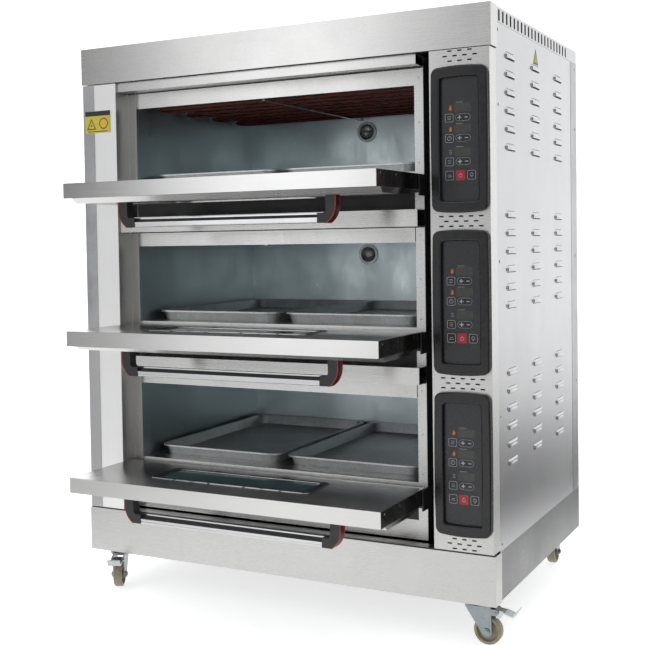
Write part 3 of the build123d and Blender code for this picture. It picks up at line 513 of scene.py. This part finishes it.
def build_bar_insert(deck):
    """Dark ribbed strip that lies on the step of the handle bar."""
    low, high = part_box(f"handle_bar_{deck}")
    left = (low[0] - MACHINE.x) / MM
    right = (high[0] - MACHINE.x) / MM
    front = (low[1] - MACHINE.y) / MM
    step_rise = 13
    end_gap = 0.5
    step = low[2] / MM + step_rise
    bm = bmesh.new()
    section = [
        (3, -0.2), (3, 2.2), (4.5, 3.2), (6, 2.4), (7.5, 4.6), (9, 3.8),
        (10.5, 6.4), (12, 5.8), (13.8, 7.6), (14.2, 7.6), (14.2, -0.2),
    ]
    loops = [
        [bm.verts.new(at(x, front + depth, step + rise)) for depth, rise in section]
        for x in (left + end_gap, right - end_gap)
    ]
    stitch(bm, loops[0], loops[1])
    bm.faces.new(loops[0])
    bm.faces.new(list(reversed(loops[1])))
    finish_piece(
        f"bar_insert_{deck}", bm, MATERIALS["handle_black"], f"door_{deck}", 30
    )


# --- doors --------------------------------------------------------------------------------------
def build_window_frame(deck):
    """Thin raised frame round the inner pane with a bright rim, small clips and screws."""
    low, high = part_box(f"door_glass_{deck}")
    lap = 6
    width = (high[0] - low[0]) / MM - 2 * lap
    length = (high[1] - low[1]) / MM - 2 * lap
    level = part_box(f"door_liner_{deck}")[1][2]
    middle = Vector(((low[0] + high[0]) / 2, (low[1] + high[1]) / 2, level))
    sheet = Sheet(middle, (1, 0, 0), (0, 1, 0))
    bm = bmesh.new()
    outer_w = width + 34
    outer_l = length + 12
    rim = 1.5
    thick = 1.2
    screw_spots = (-0.36, -0.12, 0.12, 0.36)
    clip_spots = (0.24, -0.24)
    outer = rounded(0, 0, outer_w, outer_l, 17)
    inner = rounded(0, 0, width - 3, length - 3, 12)
    add_ring(bm, sheet, outer, inner, 0, thick)
    for side in (-1, 1):
        for spot in screw_spots:
            screw_head(bm, sheet, spot * width, side * (length / 2 + 10), 2.6, 1.4)
        for spot in clip_spots:
            clip = rounded(spot * width, side * (length / 2 + 4), 14, 9, 2)
            add_plate(bm, sheet, clip, thick, 2.2, 0.4)
    finish_piece(
        f"window_frame_{deck}", bm, MATERIALS["dark_steel"], f"door_{deck}"
    )
    bm = bmesh.new()
    edge = rounded(0, 0, outer_w + 2 * rim, outer_l + 2 * rim, 18)
    add_ring(bm, sheet, edge, outer, 0, 1.6)
    finish_piece(
        f"window_edge_{deck}", bm, MATERIALS["handle_metal"], f"door_{deck}"
    )


def build_door_end_screws(deck):
    """Small screws along the top of the door's two end walls."""
    low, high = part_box(f"door_shell_{deck}")
    level = deck_datum(deck) - 9
    places = (-212, -120, -20)
    bm = bmesh.new()
    for x, facing in ((low[0], -1), (high[0], 1)):
        sheet = Sheet((x, MACHINE.y, 0), (0, facing, 0), (0, 0, 1))
        for y in places:
            screw_head(bm, sheet, facing * y, level, 2.4, 0.9)
    finish_piece(
        f"door_end_screws_{deck}", bm, MATERIALS["screw_steel"], f"door_{deck}"
    )


# --- cabinet front ------------------------------------------------------------------------------
def build_sill_screws():
    """Flush screws along each sill, and heads down both edges of the front plate."""
    sill_rise = 8
    sill_y = 76
    sill_columns = (-430, -290, -150, 0, 130, 250, 362)
    plate_columns = (-476, 404)
    plate_rises = (30, 130, 240)
    bm = bmesh.new()
    for deck in DECKS:
        datum = deck_datum(deck)
        sill = Sheet(at(0, 0, datum + sill_rise), (1, 0, 0), (0, 1, 0))
        for x in sill_columns:
            screw_head(bm, sill, x, sill_y, 3.2, 0.25)
        plate = front_sheet(0, FRAME_Y, datum)
        for x in plate_columns:
            for rise in plate_rises:
                screw_head(bm, plate, x, rise, 2.6, 0.8)
    finish_piece("front_screws", bm, MATERIALS["screw_steel"], "cabinet")


def build_recesses():
    """Dark sheets of painted shade over each rail and in the hinge slot, painted-shade returns
    beside the doors, painted highlight jamb edges.
    """
    painted_shade_above_rail = (-88, -20)
    slot_z = (238, 1450)
    jamb_z = (238, 1425)
    # Dark sheets where there is only shade: painted shade over each rail and at the back and side
    # of the hinge slot.
    dark = bmesh.new()
    for deck in DECKS:
        datum = deck_datum(deck)
        rises = tuple(datum + rise for rise in painted_shade_above_rail)
        add_box(dark, (-489, 391), (FRAME_Y - 0.6, FRAME_Y - 0.1), rises)
    add_box(dark, (416.2, 416.4), (60, 99), slot_z)
    add_box(dark, (417, 453), (99.3, 99.7), slot_z)
    finish_piece("recess_painted_shade", dark, MATERIALS["dark_steel"], "cabinet", 0)
    # Painted shade on the return wall and across the jamb plate between the highlight strips.
    shaded = bmesh.new()
    add_box(shaded, (-490.8, -490.5), (3, 56), slot_z)
    add_box(shaded, (-486, -463.5), (FRAME_Y - 0.4, FRAME_Y - 0.1), jamb_z)
    finish_piece("jamb_painted_shade", shaded, PAINTED_SHADE_STEEL, "cabinet", 0)
    # Painted highlights: brighter stainless strips along both jamb edges.
    bright = bmesh.new()
    for left, right in ((-490.4, -487), (-463, -460.3)):
        add_box(bright, (left, right), (FRAME_Y - 0.8, FRAME_Y - 0.1), jamb_z)
    finish_piece(
        "jamb_painted_highlights", bright, MATERIALS["door_stainless"], "cabinet", 0
    )


def build_seams():
    """Narrow dark joint lines between the front's folded sheets with painted shadow, and painted
    shade on the side panels' rear folds.
    """
    opening = (-489, 415)
    seam_y = (FRAME_Y - 0.7, FRAME_Y - 0.2)
    post_columns = (-461.5, 390.5)
    fold_y = 762
    # Dark lines at the sheet joints: joint lines with painted shadow along them.
    bm = bmesh.new()
    for deck in DECKS[1:]:
        datum = deck_datum(deck)
        add_box(bm, opening, seam_y, (datum - 132.5, datum - 130))
        for x in post_columns:
            add_box(bm, (x, x + 1.5), seam_y, (datum - 168, datum - 132))
    add_box(bm, opening, seam_y, (1423, 1425.8))
    add_box(bm, (-566, 453), (0.2, 0.8), (1450.6, 1452.8))
    add_box(bm, (-606, 606), (0.4, 1.0), (233.2, 236.6))
    finish_piece("front_seam_shadows", bm, MATERIALS["gland_plastic"], "cabinet", 0)
    # A dark line where each rear fold starts: painted shade in the fold's corner.
    bm = bmesh.new()
    add_box(bm, (605.9, 606.35), (fold_y - 1.4, fold_y), (235, 1515))
    add_box(bm, (-606.35, -605.9), (fold_y - 1.4, fold_y), (235, 1515))
    finish_piece("side_crease_shade", bm, SHADE_AND_REFLECTION_STEEL, "cabinet", 0)
    # A darker copy of the side steel over each rear fold: painted shade.
    bm = bmesh.new()
    add_box(bm, (605.9, 606.2), (fold_y, 829.5), (234, 1515.5))
    add_box(bm, (-606.2, -605.9), (fold_y, 829.5), (234, 1515.5))
    finish_piece("side_fold_shade", bm, FOLD_SHADE_STEEL, "cabinet", 0)


def build_door_caps(deck):
    """Thin sheets in a darker copy of the stainless over the door's folded end plates: painted
    shade and dark reflection.
    """
    datum = deck_datum(deck)
    low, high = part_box(f"door_shell_{deck}")
    bm = bmesh.new()
    left = (low[0] - MACHINE.x) / MM
    right = (high[0] - MACHINE.x) / MM
    depth = (-232, 37)
    rises = (datum - 38.5, datum - 1)
    add_box(bm, (left - 0.25, left + 0.2), depth, rises)
    add_box(bm, (right - 0.2, right + 0.25), depth, rises)
    finish_piece(f"door_end_dark_reflection_{deck}", bm, SHADE_AND_REFLECTION_STEEL, f"door_{deck}", 0)


def add_box(bm, xs, ys, zs):
    """A thin strip between machine coordinates."""
    lows = (xs[0], ys[0], zs[0])
    highs = (xs[1], ys[1], zs[1])
    picks = [(x, y, z) for z in (0, 1) for x, y in ((0, 0), (1, 0), (1, 1), (0, 1))]
    corners = [
        bm.verts.new(at(*[highs[axis] if pick[axis] else lows[axis] for axis in range(3)]))
        for pick in picks
    ]
    stitch(bm, corners[:4], corners[4:])
    bm.faces.new(corners[:4][::-1])
    bm.faces.new(corners[4:])


def build_lamps():
    """Domed lens and three screws of each chamber lamp."""
    sheet_thick = 2
    lamp_x = -33
    lamp_rise = 184
    lens_r = 22
    lens_h = 6
    screw_circle = 29
    steps = 7
    for deck in DECKS:
        datum = deck_datum(deck)
        rear = (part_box(f"chamber_{deck}")[1][1] - MACHINE.y) / MM - sheet_thick
        sheet = front_sheet(lamp_x, rear, datum + lamp_rise)
        bm = bmesh.new()
        loops = []
        for step in range(steps):
            angle = math.pi / 2 * step / steps
            ring = circle(0, 0, lens_r * math.cos(angle), 32)
            height = -3 + lens_h * math.sin(angle)
            loops.append([bm.verts.new(sheet.spot(u, v, height)) for u, v in ring])
        for first, second in zip(loops, loops[1:]):
            stitch(bm, first, second)
        bm.faces.new(loops[-1])
        bm.faces.new(list(reversed(loops[0])))
        finish_piece(f"lamp_lens_{deck}", bm, BULB_GLASS, "cabinet", 60)
        bm = bmesh.new()
        for index in range(3):
            angle = math.radians(90 + 120 * index)
            u = screw_circle * math.cos(angle)
            v = screw_circle * math.sin(angle)
            screw_head(bm, sheet, u, v, 2.4, 4.2)
        finish_piece(f"lamp_screws_{deck}", bm, MATERIALS["screw_steel"], "cabinet")


# --- control panels -----------------------------------------------------------------------------
KEY_X = -27
PLUS_X = -1
MINUS_X = 16
PAD_X = 7.5
KEY_ROWS = (52, 3, -53)
DISPLAY_ROWS = (76, 25, -30)
LAST_ROW = -86
LAST_X = (-27, 0, 28)
INK = 0.15


def draw_bar(bm, sheet, u, v, width, height):
    corners = [(-1, -1), (1, -1), (1, 1), (-1, 1)]
    add_plate(bm, sheet, [(u + a * width / 2, v + b * height / 2) for a, b in corners], 0, INK)


def draw_frame(bm, sheet, u, v, width, height, radius, line=0.9):
    outer = rounded(u, v, width, height, radius)
    inner = rounded(u, v, width - 2 * line, height - 2 * line, radius - line)
    add_ring(bm, sheet, outer, inner, 0, INK)


def draw_dial(bm, sheet, u, v, radius):
    add_ring(bm, sheet, circle(u, v, radius, 20), circle(u, v, radius - 1, 20), 0, INK)


def draw_plus(bm, sheet, u, v):
    draw_bar(bm, sheet, u, v, 10, 2.4)
    draw_bar(bm, sheet, u, v + 3, 2.4, 3.6)
    draw_bar(bm, sheet, u, v - 3, 2.4, 3.6)


def draw_symbols(bm, sheet):
    """Outlined keys with simple generic signs for heat, time, light and power."""
    for index, v in enumerate(KEY_ROWS):
        draw_frame(bm, sheet, KEY_X, v, 21, 20, 3.5)
        draw_frame(bm, sheet, PAD_X, v, 37, 17, 8.4, 0.6)
        draw_plus(bm, sheet, PLUS_X, v)
        draw_bar(bm, sheet, MINUS_X, v, 8, 2.2)
        draw_bar(bm, sheet, PLUS_X, DISPLAY_ROWS[index] + 12.5, 18, 0.8)
        if index == 1:
            draw_dial(bm, sheet, KEY_X, v, 5.5)
            draw_bar(bm, sheet, KEY_X, v + 1.4, 0.9, 3.6)
        else:
            for step in (-3.6, 0, 3.6):
                draw_bar(bm, sheet, KEY_X, v + step, 9, 0.8)
    for u in (LAST_X[0], LAST_X[2]):
        draw_frame(bm, sheet, u, LAST_ROW, 21, 22, 3.5)
    draw_bar(bm, sheet, LAST_X[0], LAST_ROW - 3, 11, 1)
    draw_bar(bm, sheet, LAST_X[0], LAST_ROW + 1, 8, 1)
    draw_dial(bm, sheet, LAST_X[1], LAST_ROW - 1, 4.6)
    draw_bar(bm, sheet, LAST_X[1], LAST_ROW + 3.6, 1.2, 4.6)
    draw_dial(bm, sheet, LAST_X[2], LAST_ROW + 1, 4.2)
    draw_bar(bm, sheet, LAST_X[2], LAST_ROW - 5, 3.4, 1)
    for step in (-4, 0, 4):
        draw_bar(bm, sheet, -24, DISPLAY_ROWS[2] + step, 7, 0.9)


def draw_lamp(bm, sheet, u, v):
    """Small flame sign."""
    flame = [(0, 7), (3.2, 2), (3.6, -3), (1.6, -6), (-1.6, -6), (-3.6, -3), (-2.4, 1)]
    add_plate(bm, sheet, [(u + a, v + b) for a, b in reversed(flame)], 0, INK)


def build_panel_prints():
    """The printed film of each control panel: keys, displays, plus and minus pads."""
    low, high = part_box("panel_films")
    film_x = ((low[0] + high[0]) / 2 - MACHINE.x) / MM
    film_y = (low[1] - MACHINE.y) / MM
    for deck in DECKS:
        sheet = front_sheet(film_x, film_y, deck_datum(deck) + 76)
        over = Sheet(sheet.spot(0, 0, INK), sheet.right, sheet.up)
        white = bmesh.new()
        draw_symbols(white, over)
        finish_piece(f"panel_print_{deck}", white, PRINT_WHITE, "cabinet", 0)
        display = bmesh.new()
        for v in DISPLAY_ROWS:
            add_plate(display, sheet, rounded(7, v, 42, 20, 1.5), 0, INK)
        finish_piece(f"panel_displays_{deck}", display, DISPLAY, "cabinet", 0)
        dark = bmesh.new()
        for v in KEY_ROWS:
            add_plate(dark, sheet, rounded(PAD_X, v, 36.4, 16.4, 8), 0, INK)
            add_plate(dark, sheet, rounded(KEY_X, v, 19.4, 18.4, 2.6), 0, INK)
        for u in (LAST_X[0], LAST_X[2]):
            add_plate(dark, sheet, rounded(u, LAST_ROW, 19.4, 20.4, 2.6), 0, INK)
        finish_piece(f"panel_keys_{deck}", dark, KEY_DARK, "cabinet", 0)
        red = bmesh.new()
        add_plate(red, sheet, rounded(LAST_X[1], LAST_ROW, 23, 24, 2), 0, INK)
        finish_piece(f"power_key_{deck}", red, KEY_RED, "cabinet", 0)
        orange = bmesh.new()
        for v in DISPLAY_ROWS[:2]:
            draw_lamp(orange, sheet, -24, v)
        finish_piece(f"panel_lights_{deck}", orange, PRINT_ORANGE, "cabinet", 0)


# --- labels -------------------------------------------------------------------------------------
LABEL_THICK = 0.3


def build_labels():
    """Blank notice labels: a yellow plate with a black head and two plain signs, and a triangle."""
    sheet = front_sheet(-555, 0, 1346)
    width = 88
    bm = bmesh.new()
    add_plate(bm, sheet, rounded(0, 0, width, 62, 2), 0, LABEL_THICK)
    finish_piece("notice_label", bm, LABEL_YELLOW, "cabinet", 0)
    bm = bmesh.new()
    over = Sheet(sheet.spot(0, 0, LABEL_THICK), sheet.right, sheet.up)
    triangle = [(-38, -21), (-6, -21), (-22, 10)]
    triangle_hole = [(-34, -18.5), (-10, -18.5), (-22, 5)]
    add_plate(bm, over, rounded(0, 24, width, 13.5, 1), 0, INK)
    add_ring(bm, over, triangle, triangle_hole, 0, INK)
    add_plate(bm, over, circle(-22, -10, 2.6, 12), 0, INK)
    add_plate(bm, over, rounded(0, -27, 70, 2, 0.5), 0, INK)
    finish_piece("notice_marks", bm, LABEL_BLACK, "cabinet", 0)
    bm = bmesh.new()
    add_ring(bm, over, circle(21, -5, 16, 32), circle(21, -5, 12.6, 32), 0, INK)
    finish_piece("notice_ring", bm, LABEL_RED, "cabinet", 0)

    right = (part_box("right_side_panel")[0][0] + 2 * MM - MACHINE.x) / MM
    side = Sheet(at(right, 392, 1478), (0, 1, 0), (0, 0, 1))
    bm = bmesh.new()
    add_plate(bm, side, [(-24, -20), (24, -20), (0, 22)], 0, LABEL_THICK)
    finish_piece("side_notice", bm, LABEL_YELLOW, "cabinet", 0)
    bm = bmesh.new()
    over = Sheet(side.spot(0, 0, LABEL_THICK), side.right, side.up)
    triangle = [(-22, -19), (22, -19), (0, 20)]
    triangle_hole = [(-17, -16), (17, -16), (0, 14)]
    add_ring(bm, over, triangle, triangle_hole, 0, INK)
    finish_piece("side_notice_marks", bm, LABEL_BLACK, "cabinet", 0)


# --- louvres ------------------------------------------------------------------------------------
def build_louvres(side, panel_name):
    """Smooth pressed hoods over the side panel's vent slots, open along the lower edge, with
    painted shade under each lip and above each hood.
    """
    low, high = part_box(panel_name)
    louvre_out = 4
    face = (high[0] if side > 0 else low[0]) - side * louvre_out * MM
    bm = bmesh.new()
    shade_marks = bmesh.new()
    half_w = 38
    top_rise = 9
    across = 12
    down = 6
    columns = (161, 387, 617)
    rows = 6
    pitch = 45
    middle_rise = 174
    for deck in DECKS:
        datum = deck_datum(deck)
        for y in columns:
            for row in range(rows):
                z = datum + middle_rise + (row - (rows - 1) / 2) * pitch
                sheet = Sheet(
                    Vector((face, MACHINE.y + y * MM, z * MM)), (0, side, 0), (0, 0, 1)
                )
                add_hood(bm, sheet, half_w, top_rise, across, down)
                # Dark grey plates under each lip and along each hood's top: painted shade.
                slit = rounded(0, -6, 2 * half_w - 2, 3.4, 1.6, 3)
                crease = rounded(-2, top_rise + 1, 2 * half_w - 14, 1.2, 0.5, 3)
                add_plate(shade_marks, sheet, slit, 0, 0.35)
                add_plate(shade_marks, sheet, crease, 0, 0.3)
    finish_piece(
        f"louvres_{panel_name}", bm, MATERIALS["side_stainless"], "cabinet", 70
    )
    finish_piece(f"louvre_painted_shade_{panel_name}", shade_marks, SLIT_SHADE, "cabinet", 0)


def hood_grid(bm, sheet, half_w, top, base, depth, across, down):
    """Rows of points over one half-dome, from its closed top to its open lower lip."""
    lip = -5
    grid = []
    for row in range(down + 1):
        fall = row / down
        v = top + (lip - top) * fall
        line = []
        for column in range(across + 1):
            run = -1 + 2 * column / across
            swell = max(0.0, 1 - run * run) ** 0.35 * math.sin(math.pi / 2 * fall) ** 0.8
            line.append(bm.verts.new(sheet.spot(run * half_w, v, base + depth * swell)))
        grid.append(line)
    return grid


def add_hood(bm, sheet, half_w, top_rise, across, down):
    """One louvre: a thin half-dome that grows from the sheet to its open lower lip."""
    depth = 5.2
    grid = hood_grid(bm, sheet, half_w, top_rise, 0.1, depth, across, down)
    inner = hood_grid(bm, sheet, half_w - 1, top_rise - 1, 0.05, depth - 0.9, across, down)
    for rows in (grid, inner):
        for upper, lower in zip(rows, rows[1:]):
            for column in range(across):
                bm.faces.new((upper[column], upper[column + 1], lower[column + 1], lower[column]))
    for column in range(across):
        for row in (-1, 0):
            out_line, in_line = grid[row], inner[row]
            bm.faces.new((
                out_line[column], out_line[column + 1], in_line[column + 1], in_line[column],
            ))
    for row in range(down):
        for edge in (0, across):
            bm.faces.new((
                grid[row][edge], grid[row + 1][edge], inner[row + 1][edge], inner[row][edge],
            ))


# --- stage --------------------------------------------------------------------------------------
FLOOR_PALE = (0.92, 0.92, 0.92)
FLOOR_GREY = (0.20, 0.20, 0.20)
FLOOR_GLOW = 0.62
FLOOR_GLOW_LOW = 0.02
# Each edge of a grey zone is a direction, where the grey starts and where it is full, in metres.
BESIDE = ((1.0, 0.185, 0.0), 0.74, 1.30)
BESIDE_END = ((0.0, 1.0, 1.5), 6.2, 0.6)
BEFORE = ((0.0, 1.0, 0.0), -0.40, -1.30)
BEFORE_LEFT = ((1.0, 0.0, 0.0), -0.35, -1.60)
BEFORE_RIGHT = ((1.0, 0.0, 0.0), -0.10, 0.90)
SKY_BASE = 0.21
# Each light is a direction, an inner and an outer angle in degrees, and a strength.
STRIP_LIGHTS = (
    ((-0.500, -0.866, 0.0), 0.5, 9.0, 1.45),
    ((-0.375, -0.927, 0.0), 0.5, 13.0, 0.42),
)
SKY_LOBES = (
    ((0.0, 0.0, 1.0), 15, 70, 0.7),
    ((0.3, 1.0, 0.1), 10, 45, 0.7),
    ((-1.0, -0.1, 0.25), 10, 45, 0.3),
    ((0.75, -1.0, 0.15), 8, 38, 0.55),
)


def build_stage():
    """Pale floor that curves up behind, greyer to the right and in front at both sides."""
    nodes = Nodes("studio_floor")
    nodes.set(Roughness=0.8)
    at_right = nodes.combine("MULTIPLY", nodes.slope(*BESIDE), nodes.slope(*BESIDE_END))
    sides = nodes.combine("ADD", nodes.slope(*BEFORE_LEFT), nodes.slope(*BEFORE_RIGHT))
    in_front = nodes.combine("MULTIPLY", nodes.slope(*BEFORE), sides)
    in_front = nodes.span(in_front, 0.0, 0.55, 0.0, 1.0)
    greyness = nodes.combine("MAXIMUM", at_right, in_front)
    colour = nodes.ramp(greyness, FLOOR_PALE, FLOOR_GREY, 0.0, 1.0)
    glow = nodes.span(greyness, FLOOR_GLOW, FLOOR_GLOW_LOW, 0.0, 1.0)
    nodes.link(colour, nodes.shader.inputs["Base Color"])
    nodes.shader.inputs["Emission Color"].default_value = (1, 1, 1, 1)
    nodes.link(glow, nodes.shader.inputs["Emission Strength"])
    bm = bmesh.new()
    front_edge = -6.0
    curve_start = 3.6
    curve_r = 1.6
    curve_steps = 8
    wall_top = 5.0
    half_width = 16.0
    profile = [(front_edge, 0.0), (curve_start, 0.0)]
    for step in range(1, curve_steps + 1):
        angle = math.pi / 2 * step / curve_steps
        y = curve_start + curve_r * math.sin(angle)
        profile.append((y, curve_r - curve_r * math.cos(angle)))
    profile.append((curve_start + curve_r, wall_top))
    ends = (-half_width, half_width)
    loops = [[bm.verts.new((x, y, z)) for y, z in profile] for x in ends]
    left, right = loops
    for index in range(len(profile) - 1):
        bm.faces.new((left[index], right[index], right[index + 1], left[index + 1]))
    mesh = bpy.data.meshes.new("studio_floor")
    bm.to_mesh(mesh)
    bm.free()
    mesh.materials.append(nodes.material)
    mesh.shade_smooth()
    floor = bpy.data.objects.new("studio_floor", mesh)
    bpy.context.scene.collection.objects.link(floor)


def sky_lobe(tree, place, lobe, total):
    """Add a soft round light in one direction to the sky's brightness."""
    direction, inner, outer, strength = lobe
    facing = tree.nodes.new("ShaderNodeVectorMath")
    facing.operation = "DOT_PRODUCT"
    facing.inputs[1].default_value = Vector(direction).normalized()
    tree.links.new(place, facing.inputs[0])
    span = tree.nodes.new("ShaderNodeMapRange")
    span.interpolation_type = "SMOOTHSTEP"
    span.inputs["From Min"].default_value = math.cos(math.radians(outer))
    span.inputs["From Max"].default_value = math.cos(math.radians(inner))
    span.inputs["To Max"].default_value = strength
    tree.links.new(facing.outputs["Value"], span.inputs["Value"])
    adder = tree.nodes.new("ShaderNodeMath")
    tree.links.new(span.outputs["Result"], adder.inputs[0])
    tree.links.new(total, adder.inputs[1])
    return adder.outputs["Value"]


def build_sky():
    """A dim room with upright strip lights before the doors and broad lights above and beside."""
    world = bpy.data.worlds.new("studio")
    world.use_nodes = True
    tree = world.node_tree
    place = tree.nodes.new("ShaderNodeTexCoord").outputs["Generated"]
    level = tree.nodes.new("ShaderNodeVectorMath")
    level.operation = "MULTIPLY"
    level.inputs[1].default_value = (1, 1, 0)
    tree.links.new(place, level.inputs[0])
    compass = tree.nodes.new("ShaderNodeVectorMath")
    compass.operation = "NORMALIZE"
    tree.links.new(level.outputs["Vector"], compass.inputs[0])
    base = tree.nodes.new("ShaderNodeValue")
    base.outputs["Value"].default_value = SKY_BASE
    total = base.outputs["Value"]
    for lobe in STRIP_LIGHTS:
        total = sky_lobe(tree, compass.outputs["Vector"], lobe, total)
    for lobe in SKY_LOBES:
        total = sky_lobe(tree, place, lobe, total)
    background = tree.nodes["Background"]
    background.inputs["Color"].default_value = (0.97, 0.98, 1.0, 1)
    tree.links.new(total, background.inputs["Strength"])
    bpy.context.scene.world = world
    bpy.context.scene.view_settings.view_transform = "Standard"


def build_camera():
    """In front and to the right, at the height of the middle deck."""
    place = (1423.2, -2508.9, 997.8)
    yaw = math.radians(28.01)
    pitch = math.radians(-1.96)
    roll = math.radians(-0.89)
    lens = 61.15
    shift = (0.0364, -0.0685)
    flat = math.cos(pitch)
    look = Vector((-math.sin(yaw) * flat, math.cos(yaw) * flat, math.sin(pitch)))
    level = look.cross(Vector((0, 0, 1))).normalized()
    upright = level.cross(look)
    right = math.cos(roll) * level + math.sin(roll) * upright
    up = -math.sin(roll) * level + math.cos(roll) * upright
    data = bpy.data.cameras.new("camera")
    data.sensor_width = 36
    data.lens = lens
    data.shift_x, data.shift_y = shift
    camera = bpy.data.objects.new("camera", data)
    turn = Matrix((right, up, -look)).transposed().to_4x4()
    camera.matrix_world = Matrix.Translation(at(*place)) @ turn
    bpy.context.scene.collection.objects.link(camera)
    bpy.context.scene.camera = camera


# --- everything ---------------------------------------------------------------------------------
paint_nodes()
for deck_name in DECKS:
    build_handle_trims(deck_name)
    build_bar_insert(deck_name)
    build_window_frame(deck_name)
    build_door_end_screws(deck_name)
    build_door_caps(deck_name)
build_sill_screws()
build_recesses()
build_seams()
build_lamps()
build_panel_prints()
build_labels()
build_louvres(-1, "left_side_panel")
build_louvres(1, "right_side_panel")
build_stage()
build_sky()
build_camera()
